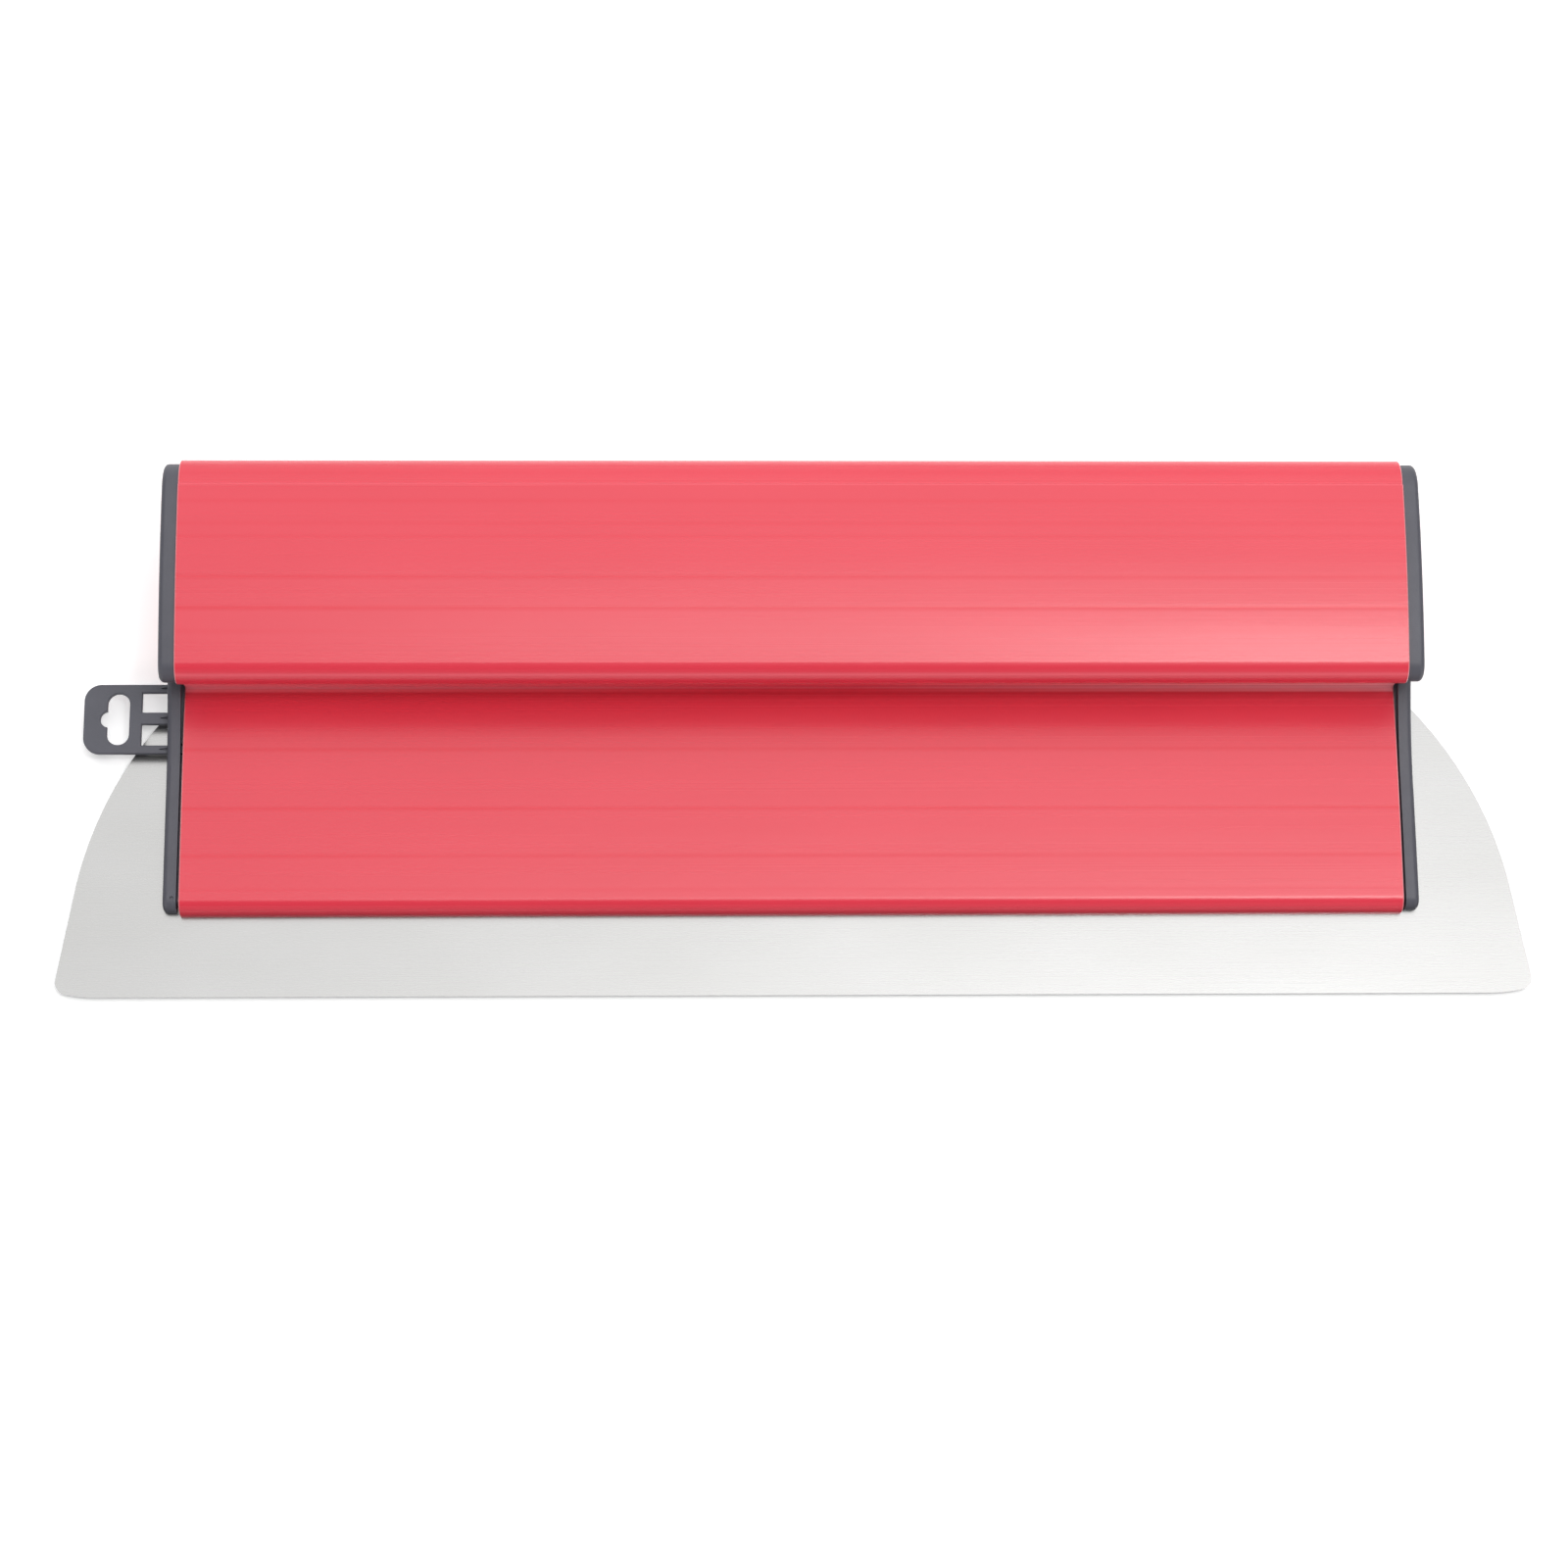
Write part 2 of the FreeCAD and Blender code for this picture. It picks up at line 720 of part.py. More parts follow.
def make_end_cap(doc, name, side):
    """Seat, flange and gusset of the S shape, with plugs into the handle's chambers."""
    body = new_body(doc, f"end_cap_{name}")
    end = size("handle_length") / 2 * side
    inward = side < 0
    seat = new_sketch(body, f"cap_seat_{name}", "YZ_Plane", end)
    trace(seat, cap_outline(size("cap_seat_inset")))
    pad(body, seat, size("cap_seat"), backward=inward)
    flange = new_sketch(body, f"cap_flange_{name}", "YZ_Plane", end + size("cap_seat") * side)
    trace(flange, cap_outline(size("cap_inset")))
    pad(body, flange, size("cap_flange"), backward=inward)
    names = edges_at_x(body.Shape, cap_face_x().value * side)
    dress(body, "PartDesign::Fillet", names, "Radius", size("cap_edge_rad"))

    gap, skin, depth = size("plug_gap"), size("skin"), size("plug_depth")
    back_z = size("mount_face_z") + skin + gap
    low_y = size("plate_low_y") + size("plate_nose_rad") * 2 + gap
    rib_low, rib_high = rib_sides()
    bar_y, bar_z = bar_centre()
    bar_low_z = bar_z - size("bar_top_rad") + skin + gap
    web_high = size("web_y") + skin / 2 + gap
    plate_box = (low_y, rib_low - gap, back_z, lower_front_z(skin) - gap)
    plug(body, f"plate_plug_{name}", side, plate_box, depth, hollow=False)
    bar_box = (web_high, bar_y - gap, bar_low_z, crown_z(size("web_y"), skin) - gap * 3)
    plug(body, f"bar_plug_{name}", side, bar_box, depth)
    inner_y = size("neck_back_y") - skin - gap
    socket_box = (rib_high + gap, inner_y, back_z, size("valley_z") - skin * 1.25 - gap)
    plug(body, f"socket_block_{name}", side, socket_box, size("socket_depth"), hollow=False)

    for number, (place_y, place_z) in enumerate(cap_screw_places(), start=1):
        cut_cap_screw_hole(body, f"{name}_{number}", side, place_y, place_z)
    if name == "left":
        cut_prong_slots(body)
        cut_gate_mark(body)
    return body


def cut_cap_screw_hole(body, tag, side, place_y, place_z):
    """Plain hole with a cone for the screw's head, sunk from the cap's outer face."""
    gap = size("hole_gap")
    face = cap_face_x() * side
    sink = size("cap_screw_sink")
    head = size("cap_screw_head_rad") + gap
    shank = size("port_rad") + gap
    rim = sink + size("cap_screw_head_rim")
    inner_x = face - size("plug_depth") * side
    section = new_sketch(body, f"cap_hole_section_{tag}", "XZ_Plane", -place_y)
    trace(section, [
        (face + side, place_z),
        (face + side, place_z + head),
        (face - rim * side, place_z + head),
        (face - (rim + head - shank) * side, place_z + shank),
        (inner_x, place_z + shank),
        (inner_x, place_z),
    ])
    start = Vector((face + side).value, place_z.value, 0)
    end = Vector((face - side).value, place_z.value, 0)
    axis = section.addGeometry(Part.LineSegment(start, end))
    section.setConstruction(axis, True)
    for point, x in ((1, face + side), (2, face - side)):
        bind(section, "DistanceX", (axis, point), x)
        bind(section, "DistanceY", (axis, point), place_z)
    revolve(body, section, "Axis0", cut=True)


def prong_rows():
    """Middle and width of each of the hang tag's three prongs, from low to high."""
    side = size("side_prong_width")
    reach = (size("tag_height") - side) / 2
    middle = size("tag_mid_y")
    return [
        (middle - reach, side),
        (middle + size("mid_prong_shift"), size("mid_prong_width")),
        (middle + reach, side),
    ]


def cut_prong_slots(body):
    """Three slots through the left cap and its socket block."""
    gap = size("prong_gap")
    low_z = size("tag_z") - gap
    high_z = size("tag_z") + size("tag_thick") + gap
    slots = new_sketch(body, "prong_slots", "YZ_Plane", -cap_face_x() - 1)
    for middle, width in prong_rows():
        rectangle(slots, middle - width / 2 - gap, middle + width / 2 + gap, low_z, high_z)
    pocket(body, slots, size("plug_depth") + size("socket_depth"))


def cut_gate_mark(body):
    """Shallow round mark in the front of the left cap's flange."""
    front_z = lower_front_z(size("cap_inset"))
    floor_z = front_z - size("gate_mark_depth")
    middle_x = size("cap_edge_rad") / 2 - size("cap_flange") / 2
    mark = new_sketch(body, "gate_mark", "XY_Plane", floor_z)
    place_x = middle_x - size("handle_length") / 2 - size("cap_seat")
    circle(mark, place_x, size("gate_mark_y"), size("gate_mark_rad"))
    pocket(body, mark, size("gate_mark_depth") * 2)


def make_cap_screws(doc, name, side):
    screws = []
    for number, (place_y, place_z) in enumerate(cap_screw_places(), start=1):
        body = new_body(doc, f"cap_screw_{name}_{number}")
        section = new_sketch(body, f"cap_screw_section_{name}_{number}", "XZ_Plane", 0)
        head, shank = size("cap_screw_head_rad"), size("port_rad") - size("hole_gap")
        rim = size("cap_screw_head_rim")
        screw_section(section, head, rim, shank, size("cap_screw_length"))
        revolve(body, section, "V_Axis")
        key = new_sketch(body, f"cap_screw_key_{name}_{number}", "XY_Plane", 0)
        hexagon(key, dim(0), dim(0), size("cap_key_across"))
        pocket(body, key, size("cap_key_depth"))
        # The screw is made pointing up +Z and is laid over to point into the handle
        body.Placement.Rotation = FreeCAD.Rotation(Vector(0, 1, 0), -90 * side)
        place_x = (cap_face_x() - size("cap_screw_sink")) * side
        body.setExpression("Placement.Base.x", place_x.text)
        body.setExpression("Placement.Base.y", place_y.text)
        body.setExpression("Placement.Base.z", place_z.text)
        screws.append(body)
    return screws


def make_hang_tag(doc):
    """Flat tag with a euro slot and three prongs that plug into the left cap."""
    body = new_body(doc, "hang_tag")
    left = size("tag_left_x")
    half = size("tag_height") / 2
    middle = size("tag_mid_y")
    corner = size("tag_corner_rad")
    root_x = size("prong_root_x")
    tip_x = -cap_face_x() + size("prong_reach")
    low_y, high_y = middle - half, middle + half

    steps = [(left + corner, low_y)]
    for place, width in prong_rows():
        if place.value - width.value / 2 > low_y.value + SHAPE_TOLERANCE:
            steps.append((root_x, place - width / 2))
        steps.append((tip_x, place - width / 2))
        steps.append((tip_x, place + width / 2))
        if place.value + width.value / 2 < high_y.value - SHAPE_TOLERANCE:
            steps.append((root_x, place + width / 2))
    steps.append((left + corner, high_y))
    steps.append((left, high_y - corner, corner, -1))
    steps.append((left, low_y + corner))
    steps[0] = (left + corner, low_y, corner, -1)
    plan = new_sketch(body, "tag_plan", "XY_Plane", size("tag_z"))
    trace(plan, steps)
    pad(body, plan, size("tag_thick"))

    slot = new_sketch(body, "euro_slot", "XY_Plane", size("tag_z"))
    slot_x = size("euro_slot_x")
    round_end = size("euro_slot_width") / 2
    straight = size("euro_slot_height") / 2 - round_end
    bump = size("euro_bump_rad")
    bump_x = slot_x - size("euro_bump_shift")
    flat_x = slot_x - round_end
    reach = root(bump * bump - (flat_x - bump_x) * (flat_x - bump_x))
    trace(slot, [
        (flat_x, middle - straight),
        (slot_x, middle - straight - round_end, round_end, -1),
        (slot_x + round_end, middle - straight, round_end, -1),
        (slot_x + round_end, middle + straight),
        (slot_x, middle + straight + round_end, round_end, -1),
        (flat_x, middle + straight, round_end, -1),
        (flat_x, middle + reach),
        (bump_x - bump, middle, bump, -1),
        (flat_x, middle - reach, bump, -1),
    ])
    pocket(body, slot, size("tag_thick"))
    top_z = size("tag_z") + size("tag_thick")
    names = edges_at_z(body.Shape, [size("tag_z").value, top_z.value])
    dress(body, "PartDesign::Fillet", names, "Radius", size("tag_edge_rad"))

    # Tapered hollows that leave two springy barbs on each prong
    face = -cap_face_x()
    barb = size("prong_barb_length")
    half_barb = size("prong_barb_width") / 2
    barbs = new_sketch(body, "prong_barbs", "XY_Plane", top_z)
    for place, width in prong_rows():
        trace(barbs, [
            (face - barb / 2, place - half_barb / 5),
            (face + barb / 2, place - half_barb),
            (face + barb / 2, place + half_barb),
            (face - barb / 2, place + half_barb / 5),
        ])
    pocket(body, barbs, size("prong_barb_depth"), backward=True)
    return body


# ---------------------------------------------------------------- document


def check(doc, bodies):
    for item in doc.Objects:
        if "Invalid" in item.State or "Error" in item.State:
            raise RuntimeError(f"{item.Name} failed: {item.State}")
    for body in bodies:
        if body.Shape.isNull() or not body.Shape.isValid():
            raise RuntimeError(f"{body.Label} has no valid shape")


def main():
    doc = FreeCAD.newDocument("skimming_trowel")
    add_sheet(doc)
    bodies = [make_handle(doc), make_blade(doc), make_clamp_strip(doc)]
    bodies += make_blade_screws(doc)
    for name, side in SIDES:
        bodies.append(make_end_cap(doc, name, side))
        bodies += make_cap_screws(doc, name, side)
    bodies.append(make_hang_tag(doc))
    doc.recompute()
    check(doc, bodies)
    os.makedirs("parts", exist_ok=True)
    for body in bodies:
        box = body.Shape.BoundBox
        print(f"{body.Label:18s} solids {len(body.Shape.Solids)} volume {body.Shape.Volume:9.1f}"
              f"  x {box.XMin:7.1f} {box.XMax:7.1f}  y {box.YMin:6.1f} {box.YMax:6.1f}"
              f"  z {box.ZMin:5.1f} {box.ZMax:5.1f}")
        body.Shape.exportStep(f"parts/{body.Label}.step")


main()
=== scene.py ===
import math

import bpy
from mathutils import Matrix, Vector


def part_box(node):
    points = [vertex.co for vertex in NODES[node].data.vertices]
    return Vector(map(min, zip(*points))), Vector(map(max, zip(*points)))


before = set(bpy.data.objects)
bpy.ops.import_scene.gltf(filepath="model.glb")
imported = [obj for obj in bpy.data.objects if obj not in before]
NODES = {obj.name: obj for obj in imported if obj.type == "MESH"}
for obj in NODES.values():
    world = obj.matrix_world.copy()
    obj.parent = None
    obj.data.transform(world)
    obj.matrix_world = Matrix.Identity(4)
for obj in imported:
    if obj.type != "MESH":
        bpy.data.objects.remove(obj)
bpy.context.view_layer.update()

# ---------------------------------------------------------------- camera

# The camera stands above the tool's working edge and looks down on its front.
CAMERA_LENS = 82.9
CAMERA_SENSOR = 36.0
CAMERA_TARGET = Vector((-0.00255, -0.01490, 0.010))
CAMERA_DISTANCE = 0.98388
CAMERA_TILT = math.radians(15.5)      # away from straight down, towards the working edge
CAMERA_YAW = math.radians(1.793)      # the right end is a little further away
CAMERA_ROLL = math.radians(0.103)


def add_camera():
    data = bpy.data.cameras.new("camera")
    data.lens = CAMERA_LENS
    data.sensor_width = CAMERA_SENSOR
    camera = bpy.data.objects.new("camera", data)
    turn = (
        Matrix.Rotation(CAMERA_ROLL, 3, "Z")
        @ Matrix.Rotation(CAMERA_YAW, 3, "Y")
        @ Matrix.Rotation(-CAMERA_TILT, 3, "X")
    ).transposed()
    place = CAMERA_TARGET + turn @ Vector((0, 0, CAMERA_DISTANCE))
    camera.matrix_world = Matrix.Translation(place) @ turn.to_4x4()
    bpy.context.scene.collection.objects.link(camera)
    bpy.context.scene.camera = camera


# ---------------------------------------------------------------- studio

# Name, place, aim, width and height, and radiance of each softbox
SOFTBOXES = (
    ("top_left", (-0.62, 0.675, 1.46), (-0.62, 0.675, 0), (1.2, 1.85), 1.8),
    ("top_right", (0.58, 0.675, 1.46), (0.58, 0.675, 0), (1.2, 1.85), 2.05),
    ("strip", (0.29, -0.07, 1.45), (0.29, -0.07, 0), (1.05, 0.3), 2.9),
    ("key", (0.45, -0.175, 1.44), (0.45, -0.175, 0), (0.4, 0.25), 10.3),
    ("back", (0, 2.03, 0.78), (0, 0.68, 0.03), (2.0, 1.54), 1.5),
    ("front_left", (-1.3, -1.3, 1.0), (0, 0, 0), (0.9, 0.9), 2.6),
    ("front_right", (1.3, -1.3, 1.0), (0, 0, 0), (0.9, 0.9), 2.6),
)
# Name, place and aim of the dim wide panels that stand low around the tool. They show only in its
# reflections, so that the steel isn't black from the sides and the back.
PANELS = (
    ("panel_front", (0, -1.9, 0.8), (0, 0, 0.02)),
    ("panel_left", (-1.9, 0, 0.8), (0, 0, 0.02)),
    ("panel_right", (1.9, 0, 0.8), (0, 0, 0.02)),
)
PANEL_SIZE = (3.8, 1.3)
PANEL_RADIANCE = 0.55
FLOOR_HALF_SIDE = 4.0
FLOOR_GAP = 0.0002                    # keeps the floor just under the faces that lie on it
FLOOR_COLOUR = (0.9, 0.9, 0.9, 1)
FLOOR_ROUGHNESS = 0.7
FLOOR_GLOW = 0.30                     # lifts the floor to the photo's white background
WHITE = (1, 1, 1, 1)
AMBIENT = 0.12                        # radiance of the room around the softboxes


def add_softbox(name, place, aim, size, radiance):
    """A rectangular light. Its power grows with its area, so radiance alone sets how bright it looks."""
    data = bpy.data.lights.new(name, "AREA")
    data.shape = "RECTANGLE"
    data.size, data.size_y = size
    data.energy = radiance * math.pi * size[0] * size[1]
    light = bpy.data.objects.new(name, data)
    light.location = place
    light.rotation_mode = "QUATERNION"
    light.rotation_quaternion = (Vector(aim) - Vector(place)).to_track_quat("-Z", "Y")
    bpy.context.scene.collection.objects.link(light)
    return light


def add_floor():
    mesh = bpy.data.meshes.new("floor")
    signs = ((-1, -1), (1, -1), (1, 1), (-1, 1))
    corners = [(x * FLOOR_HALF_SIDE, y * FLOOR_HALF_SIDE, 0) for x, y in signs]
    mesh.from_pydata(corners, [], [(0, 1, 2, 3)])
    floor = bpy.data.objects.new("floor", mesh)
    floor.location.z = -FLOOR_GAP
    bpy.context.scene.collection.objects.link(floor)
    floor.data.materials.append(floor_material())


def add_studio():
    add_floor()
    world = bpy.data.worlds.new("studio")
    world.use_nodes = True
    background = world.node_tree.nodes["Background"]
    background.inputs["Color"].default_value = WHITE
    background.inputs["Strength"].default_value = AMBIENT
    bpy.context.scene.world = world
    for softbox in SOFTBOXES:
        add_softbox(*softbox)
    for panel in PANELS:
        add_softbox(*panel, PANEL_SIZE, PANEL_RADIANCE).visible_diffuse = False
    bpy.context.scene.view_settings.view_transform = "Standard"


# ---------------------------------------------------------------- node helpers


def new_material(name):
    """A new node material and its node tree."""
    material = bpy.data.materials.new(name)
    material.use_nodes = True
    return material, material.node_tree


def connect(tree, value, socket):
    """Links a socket's output to another socket, or sets that socket to a plain value."""
    if isinstance(value, bpy.types.NodeSocket):
        tree.links.new(value, socket)
    else:
        socket.default_value = value


def add_node(tree, kind, inputs, **settings):
    """A new node with its settings, and with its inputs linked or set."""
    made = tree.nodes.new(kind)
    for key, value in settings.items():
        setattr(made, key, value)
    for key, value in inputs.items():
        connect(tree, value, made.inputs[key])
    return made


def position(tree):
    """Object coordinates: every node's mesh lies in the row frame, in metres."""
    return tree.nodes.new("ShaderNodeTexCoord").outputs["Object"]


def axis(tree, name):
    """One coordinate of the surface point, in metres."""
    return add_node(tree, "ShaderNodeSeparateXYZ", {"Vector": position(tree)}).outputs[name]


def noise(tree, grain, detail=3.0, roughness=0.55):
    """Noise whose grain has the given size along each axis, in metres. The result is 0 to 1."""
    scale = tuple(1 / length for length in grain)
    place = add_node(tree, "ShaderNodeMapping", {"Vector": position(tree), "Scale": scale})
    inputs = {"Vector": place.outputs["Vector"], "Scale": 1.0}
    inputs.update({"Detail": detail, "Roughness": roughness})
    return add_node(tree, "ShaderNodeTexNoise", inputs).outputs["Fac"]


def spread(tree, value, low, high, start=0.3, end=0.7):
    """A value that runs from start to end, turned into one that runs from low to high."""
    inputs = {"Value": value, "From Min": start, "From Max": end, "To Min": low, "To Max": high}
    return add_node(tree, "ShaderNodeMapRange", inputs).outputs["Result"]


def combine(tree, operation, first, second):
    """The result of a Math node."""
    made = tree.nodes.new("ShaderNodeMath")
    made.operation = operation
    connect(tree, first, made.inputs[0])
    connect(tree, second, made.inputs[1])
    return made.outputs["Value"]


def mix(tree, factor, first, second):
    """The first colour where the factor is 0, the second where it is 1."""
    made = add_node(tree, "ShaderNodeMix", {}, data_type="RGBA")
    for name, value in (("Factor_Float", factor), ("A_Color", first), ("B_Color", second)):
        connect(tree, value, next(s for s in made.inputs if s.identifier == name))
    return next(s for s in made.outputs if s.identifier == "Result_Color")


def bump(tree, height, depth, below=None):
    """Relief of the given depth in metres, over the relief below it."""
    inputs = {"Height": height, "Strength": 1.0, "Distance": depth}
    if below:
        inputs["Normal"] = below
    return add_node(tree, "ShaderNodeBump", inputs).outputs["Normal"]


def finish_surface(tree, colour, roughness, normal=None, **constants):
    """Connects the shader's colour, roughness and normal, and sets its plain numbers."""
    shader = tree.nodes["Principled BSDF"]
    connect(tree, colour, shader.inputs["Base Color"])
    connect(tree, roughness, shader.inputs["Roughness"])
    if normal:
        connect(tree, normal, shader.inputs["Normal"])
    for name, value in constants.items():
        shader.inputs[name.replace("_", " ")].default_value = value


# ---------------------------------------------------------------- red coating

# Noise grain sizes are in metres along X, Y and Z, and relief depths are in metres.
DIE_LINE_GRAIN = (0.9, 0.0013, 0.0013)
DIE_LINE_DEPTH = 0.0000015
WAVE_GRAIN = (1.5, 0.012, 0.012)      # the extrusion's front is never quite flat
WAVE_DEPTH = 0.00012
COAT_GRAIN = (0.0005, 0.0005, 0.0005)
COAT_GRAIN_DEPTH = 0.000012
PATCH_GRAIN = (0.07, 0.02, 0.02)      # uneven thickness of the coating
COAT_IOR = 1.5
COAT_ROUGHNESS = (0.26, 0.28)

THICK_COAT = (0.662, 0.034, 0.060, 1)
THIN_COAT = (0.686, 0.037, 0.065, 1)
DIE_LINE_COLOUR = (0.62, 0.018, 0.040, 1)
DIE_LINE_STRENGTH = 0.04

# Faint lines along the extrusion's skin, left by its webs, ribs and die: Y and strength
WITNESS_LINES = (
    (0.0568, 0.4), (0.0504, 0.35), (0.0468, 0.5), (0.0357, 0.8), (0.0320, 0.1), (0.0272, 1.2),
    (0.0209, 0.3), (-0.0050, 0.9), (-0.0214, 1.1), (-0.0345, 0.8), (-0.0437, 0.4),
)
WITNESS_HALF_WIDTH = 0.0010
WITNESS_GRAIN = (0.06, 0.011, 0.011)
WITNESS_FAINTEST = 0.6                # share of its strength left where a line fades out
WITNESS_COLOUR = (0.655, 0.010, 0.032, 1)
WITNESS_DEPTH = 0.00002

# Painted reflection on the step wall under the grip bar: a paler mauve-pink tint, paler still towards
# both ends, standing in for the light the wall reflects.
WALL_Y = 0.0126
WALL_HALF_WIDTH = 0.0018
WALL_REFLECTION_FADE = (0.1, 0.5)                # the tint's edge, as shares of the way to the wall's middle
WALL_TOP_Z = 0.026
WALL_FOOT_Z = 0.0102
WALL_REFLECTION_MIDDLE = (0.88, 0.075, 0.12, 1)
WALL_REFLECTION_RIGHT = (0.95, 0.32, 0.37, 1)
WALL_REFLECTION_LEFT = (0.95, 0.19, 0.24, 1)
WALL_REFLECTION_START = 0.02                # distance from the middle of the handle
WALL_REFLECTION_END = 0.16

# Painted highlights: thin lighter red lines along the grip bar's lower edge and along the ledge on its
# front, where the rounding catches the light.
HIGHLIGHT_LINE_Z = 0.0313
HIGHLIGHT_LINE_MAX_Y = WALL_Y - 0.002       # keeps the line off the step wall
HIGHLIGHT_HALF_WIDTH = 0.0006
PAINTED_HIGHLIGHT_COLOUR = (0.76, 0.10, 0.135, 1)
LEDGE_Y = 0.0618
LEDGE_MIN_Z = 0.036                   # keeps the line on the ledge off the back of the handle

DIP_Y = -0.005                        # from here the lower plate dips towards the step wall
DIP_SLOPE = 0.075

CUT_EDGE = 0.00035                    # width of the bright deburred edge at the handle's ends
CUT_EDGE_STRENGTH = 0.35
CUT_EDGE_COLOUR = (0.9, 0.62, 0.64, 1)


def band(tree, value, middle, half_width):
    """1 where the value is at the middle, falling to 0 at the half width on both sides."""
    away = combine(tree, "ABSOLUTE", combine(tree, "SUBTRACT", value, middle), 0.0)
    return spread(tree, away, 1, 0, 0, half_width)


def witness_lines(tree):
    """The witness lines' strength: 0 between them, fading in and out along the handle."""
    y = axis(tree, "Y")
    total = 0.0
    for place, strength in WITNESS_LINES:
        line = combine(tree, "MULTIPLY", band(tree, y, place, WITNESS_HALF_WIDTH), strength)
        total = combine(tree, "ADD", total, line)
    fade = spread(tree, noise(tree, WITNESS_GRAIN), WITNESS_FAINTEST, 1.0)
    return combine(tree, "MULTIPLY", total, fade)


def wall_reflection_mask(tree):
    """1 on the step wall under the grip bar, where its painted reflection goes."""
    near_wall = band(tree, axis(tree, "Y"), WALL_Y, WALL_HALF_WIDTH)
    below_bar = combine(tree, "LESS_THAN", axis(tree, "Z"), WALL_TOP_Z)
    return combine(tree, "MULTIPLY", spread(tree, near_wall, 0, 1, *WALL_REFLECTION_FADE), below_bar)


def wall_painted_reflection(tree):
    """The step wall's painted reflection: deep in the middle of the handle, paler towards both ends."""
    right_end = spread(tree, axis(tree, "X"), 0, 1, WALL_REFLECTION_START, WALL_REFLECTION_END)
    left_end = spread(tree, axis(tree, "X"), 1, 0, -WALL_REFLECTION_END, -WALL_REFLECTION_START)
    tint = mix(tree, right_end, WALL_REFLECTION_MIDDLE, WALL_REFLECTION_RIGHT)
    return mix(tree, left_end, tint, WALL_REFLECTION_LEFT)


def painted_highlight_lines(tree):
    """1 along the painted highlight lines on the grip bar's lower edge and on its ledge."""
    line = band(tree, axis(tree, "Z"), HIGHLIGHT_LINE_Z, HIGHLIGHT_HALF_WIDTH)
    front = combine(tree, "LESS_THAN", axis(tree, "Y"), HIGHLIGHT_LINE_MAX_Y)
    ledge = band(tree, axis(tree, "Y"), LEDGE_Y, HIGHLIGHT_HALF_WIDTH)
    high = combine(tree, "GREATER_THAN", axis(tree, "Z"), LEDGE_MIN_Z)
    lower = combine(tree, "MULTIPLY", line, front)
    upper = combine(tree, "MULTIPLY", ledge, high)
    return combine(tree, "ADD", lower, upper)


def cut_edge(tree, half_length):
    """How much of the bright edge shows on the handle's cut ends and their chamfers."""
    reach = combine(tree, "ABSOLUTE", axis(tree, "X"), 0.0)
    on_edge = spread(tree, reach, 0, 1, half_length - CUT_EDGE, half_length - CUT_EDGE / 2)
    return combine(tree, "MULTIPLY", on_edge, CUT_EDGE_STRENGTH)


def plate_dip(tree):
    """Height in metres of the shallow dip in the lower plate's front, next to the wall."""
    past = combine(tree, "MAXIMUM", combine(tree, "SUBTRACT", axis(tree, "Y"), DIP_Y), 0.0)
    on_plate = combine(tree, "LESS_THAN", axis(tree, "Z"), WALL_FOOT_Z)
    return combine(tree, "MULTIPLY", combine(tree, "MULTIPLY", past, -DIP_SLOPE), on_plate)


def coat_colour(tree, die_lines, marks, half_length):
    """The coating's colour, with its lines, the step wall's painted reflection, the painted highlight
    lines and the cut edges.
    """
    patches = noise(tree, PATCH_GRAIN, detail=2.0)
    colour = mix(tree, spread(tree, patches, 0, 1), THICK_COAT, THIN_COAT)
    colour = mix(tree, spread(tree, die_lines, DIE_LINE_STRENGTH, 0), colour, DIE_LINE_COLOUR)
    colour = mix(tree, marks, colour, WITNESS_COLOUR)
    # painted reflection on the step wall, paler towards both ends
    colour = mix(tree, wall_reflection_mask(tree), colour, wall_painted_reflection(tree))
    # painted highlight lines along the grip bar's lower edge and its ledge
    colour = mix(tree, painted_highlight_lines(tree), colour, PAINTED_HIGHLIGHT_COLOUR)
    return mix(tree, cut_edge(tree, half_length), colour, CUT_EDGE_COLOUR)


def coat_relief(tree, die_lines, marks):
    """The coating's relief, from the broad waves to the finest grain."""
    normal = bump(tree, noise(tree, WAVE_GRAIN, detail=1.0), WAVE_DEPTH)
    normal = bump(tree, plate_dip(tree), 1.0, normal)
    normal = bump(tree, die_lines, DIE_LINE_DEPTH, normal)
    normal = bump(tree, combine(tree, "SUBTRACT", 1.0, marks), WITNESS_DEPTH, normal)
    return bump(tree, noise(tree, COAT_GRAIN, detail=2.0), COAT_GRAIN_DEPTH, normal)


def red_material(half_length):
    """Satin red coating on an extrusion: die lines along X, witness lines and a fine grain."""
    material, tree = new_material("red_coating")
    die_lines = noise(tree, DIE_LINE_GRAIN, detail=4.0)
    marks = witness_lines(tree)
    finish_surface(
        tree,
        coat_colour(tree, die_lines, marks, half_length),
        spread(tree, die_lines, *COAT_ROUGHNESS),
        coat_relief(tree, die_lines, marks),
        IOR=COAT_IOR,
    )
    return material


# ---------------------------------------------------------------- other materials

STEEL_DARK = (0.335, 0.333, 0.328, 1)
STEEL_LIGHT = (0.351, 0.349, 0.346, 1)
STEEL_LINE_COLOUR = (0.30, 0.30, 0.30, 1)
STEEL_LINE_STRENGTH = 0.02
STEEL_LINE_GRAIN = (0.05, 0.00022, 0.00022)
STEEL_LINE_DEPTH = 0.00000003
STEEL_BLOTCH_GRAIN = (0.06, 0.03, 0.03)
STEEL_ROUGHNESS = (0.27, 0.28)

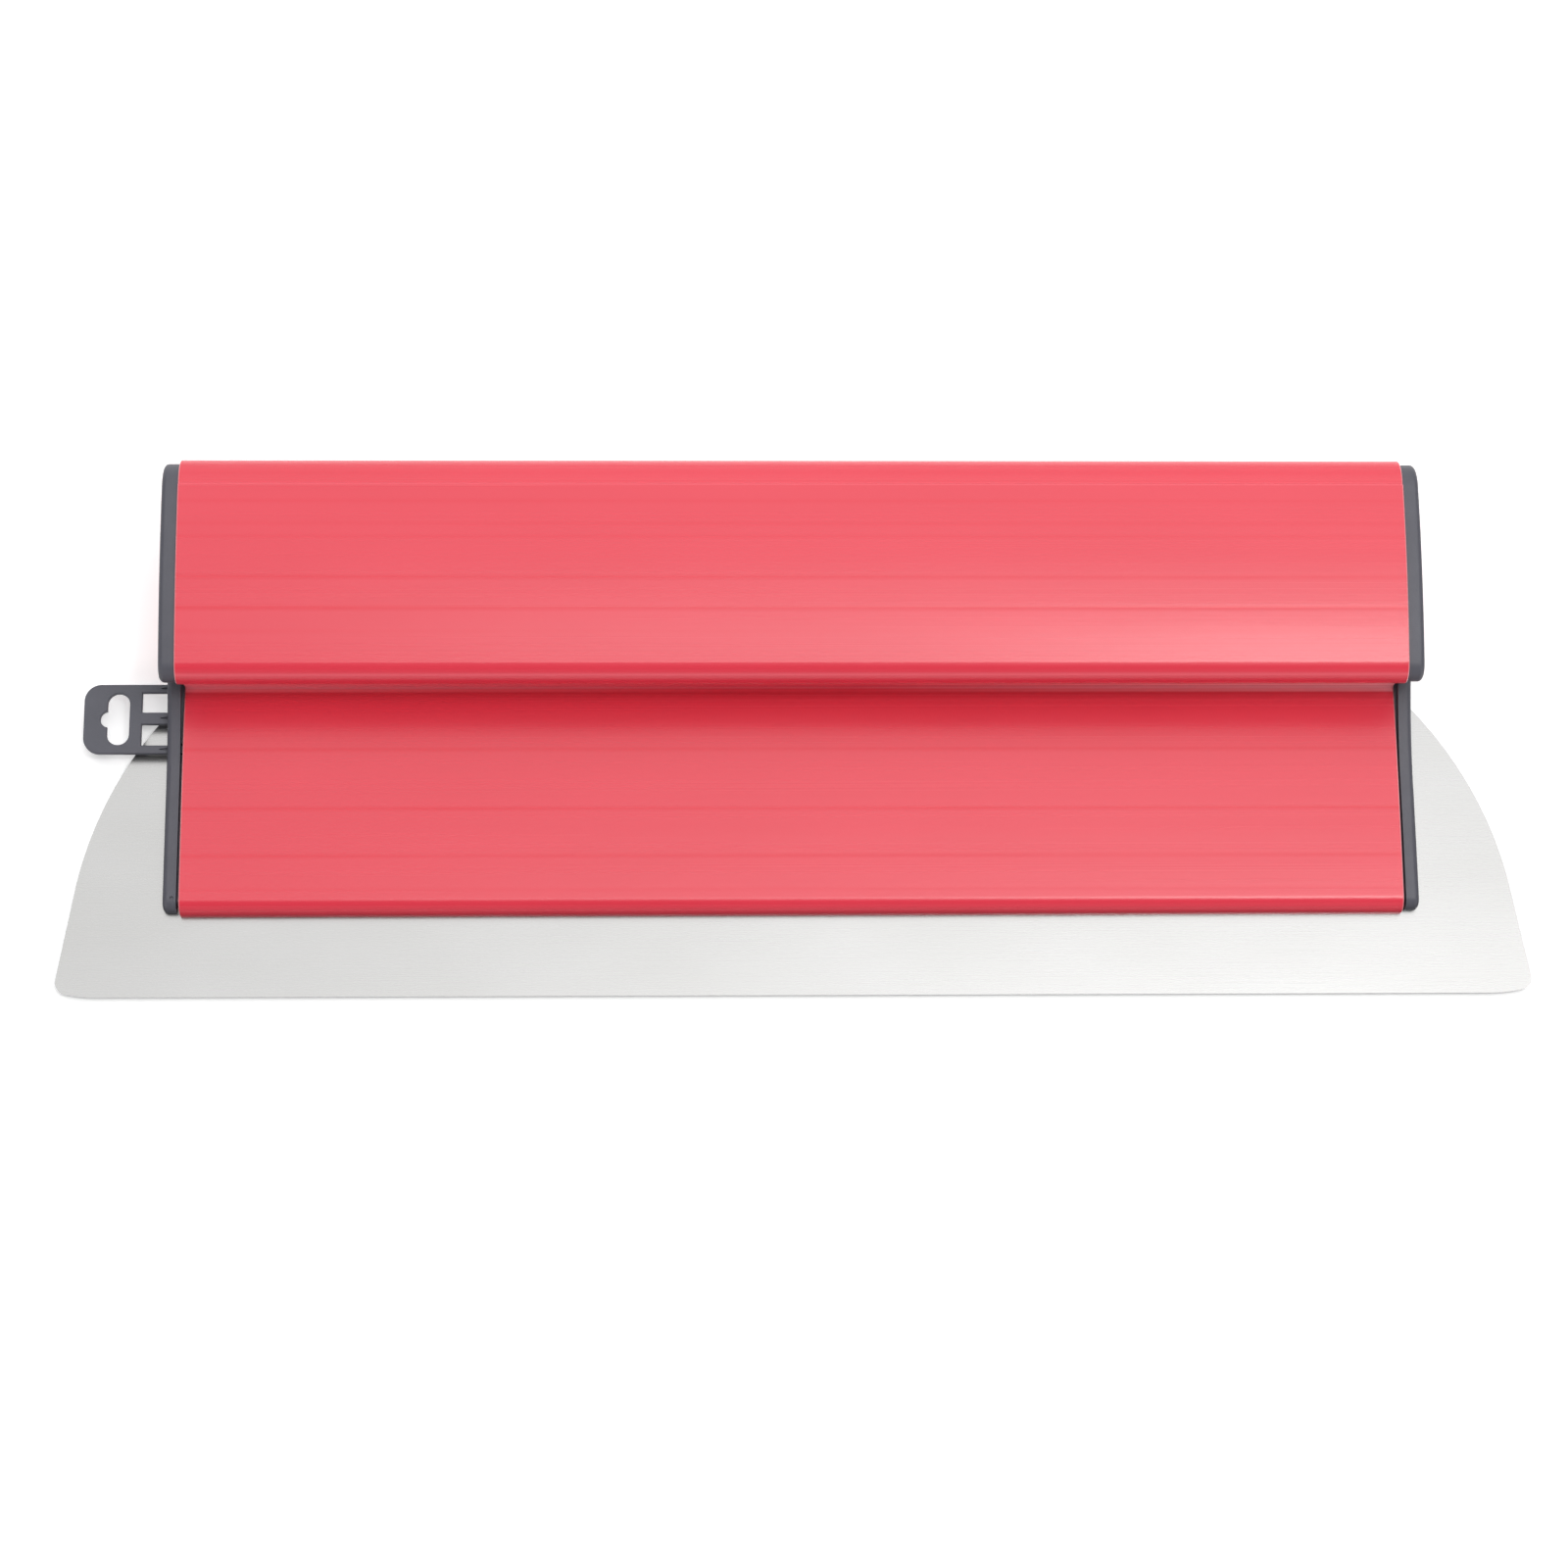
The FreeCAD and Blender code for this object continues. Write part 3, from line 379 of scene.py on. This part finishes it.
# Darker and lighter colour and grain size of the caps' and the tag's plastic
CAP_DARK = (0.060, 0.060, 0.076, 1)
CAP_LIGHT = (0.068, 0.068, 0.086, 1)
CAP_GRAIN = 0.0004
TAG_DARK = (0.062, 0.063, 0.080, 1)
TAG_LIGHT = (0.070, 0.071, 0.090, 1)
TAG_GRAIN = 0.0003
PLASTIC_MOTTLE_GRAIN = (0.008, 0.008, 0.008)
PLASTIC_GRAIN_DEPTH = 0.00003
PLASTIC_ROUGHNESS = (0.42, 0.56)

ALUMINIUM_DARK = (0.60, 0.61, 0.63, 1)
ALUMINIUM_LIGHT = (0.70, 0.71, 0.73, 1)
ALUMINIUM_LINE_GRAIN = (0.08, 0.0005, 0.0005)
ALUMINIUM_LINE_DEPTH = 0.000004
ALUMINIUM_ROUGHNESS = (0.30, 0.42)

ZINC_DARK = (0.42, 0.42, 0.43, 1)
ZINC_LIGHT = (0.58, 0.58, 0.59, 1)
ZINC_GRAIN = (0.001, 0.001, 0.001)
ZINC_ROUGHNESS = (0.26, 0.40)


def floor_material():
    """Plain pale studio floor with a faint glow of its own."""
    material, tree = new_material("studio_floor")
    glow = {"Emission_Color": WHITE, "Emission_Strength": FLOOR_GLOW}
    finish_surface(tree, FLOOR_COLOUR, FLOOR_ROUGHNESS, **glow)
    return material


def steel_material():
    """Rolled stainless sheet: fine grain along X, broad soft blotches."""
    material, tree = new_material("blade_steel")
    lines = noise(tree, STEEL_LINE_GRAIN, detail=3.0)
    blotch = noise(tree, STEEL_BLOTCH_GRAIN, detail=3.0)
    colour = mix(tree, spread(tree, blotch, 0, 1), STEEL_DARK, STEEL_LIGHT)
    colour = mix(tree, spread(tree, lines, 0, STEEL_LINE_STRENGTH), colour, STEEL_LINE_COLOUR)
    roughness = spread(tree, lines, *STEEL_ROUGHNESS)
    finish_surface(tree, colour, roughness, bump(tree, lines, STEEL_LINE_DEPTH), Metallic=1.0)
    return material


def plastic_material(name, dark, light, grain_size):
    """Moulded plastic with a spark-eroded grain and slightly uneven colour."""
    material, tree = new_material(name)
    grain = noise(tree, (grain_size,) * 3)
    mottle = noise(tree, PLASTIC_MOTTLE_GRAIN, detail=2.0)
    colour = mix(tree, spread(tree, mottle, 0, 1), dark, light)
    roughness = spread(tree, grain, *PLASTIC_ROUGHNESS)
    finish_surface(tree, colour, roughness, bump(tree, grain, PLASTIC_GRAIN_DEPTH))
    return material


def aluminium_material():
    """Mill-finish aluminium bar, brushed along X."""
    material, tree = new_material("clamp_aluminium")
    lines = noise(tree, ALUMINIUM_LINE_GRAIN)
    colour = mix(tree, spread(tree, lines, 0, 1), ALUMINIUM_DARK, ALUMINIUM_LIGHT)
    roughness = spread(tree, lines, *ALUMINIUM_ROUGHNESS)
    finish_surface(tree, colour, roughness, bump(tree, lines, ALUMINIUM_LINE_DEPTH), Metallic=1.0)
    return material


def screw_material():
    """Zinc-plated steel with a slightly mottled finish."""
    material, tree = new_material("screw_steel")
    blotch = noise(tree, ZINC_GRAIN)
    colour = mix(tree, spread(tree, blotch, 0, 1), ZINC_DARK, ZINC_LIGHT)
    finish_surface(tree, colour, spread(tree, blotch, *ZINC_ROUGHNESS), Metallic=1.0)
    return material


# ---------------------------------------------------------------- scene


def give(material, *names):
    """Puts the material in the only slot of each named CAD node."""
    for name in names:
        mesh = NODES[name].data
        mesh.materials.clear()
        mesh.materials.append(material)


def dress_nodes():
    half_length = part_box("handle_profile")[1].x
    give(red_material(half_length), "handle_profile")
    give(steel_material(), "blade")
    give(aluminium_material(), "blade_clamp_strip")
    give(screw_material(), *(name for name in NODES if "_screw_" in name))
    cap = plastic_material("cap_plastic", CAP_DARK, CAP_LIGHT, CAP_GRAIN)
    give(cap, "end_cap_left", "end_cap_right")
    tag = plastic_material("tag_plastic", TAG_DARK, TAG_LIGHT, TAG_GRAIN)
    give(tag, "hang_tag")


add_camera()
add_studio()
dress_nodes()
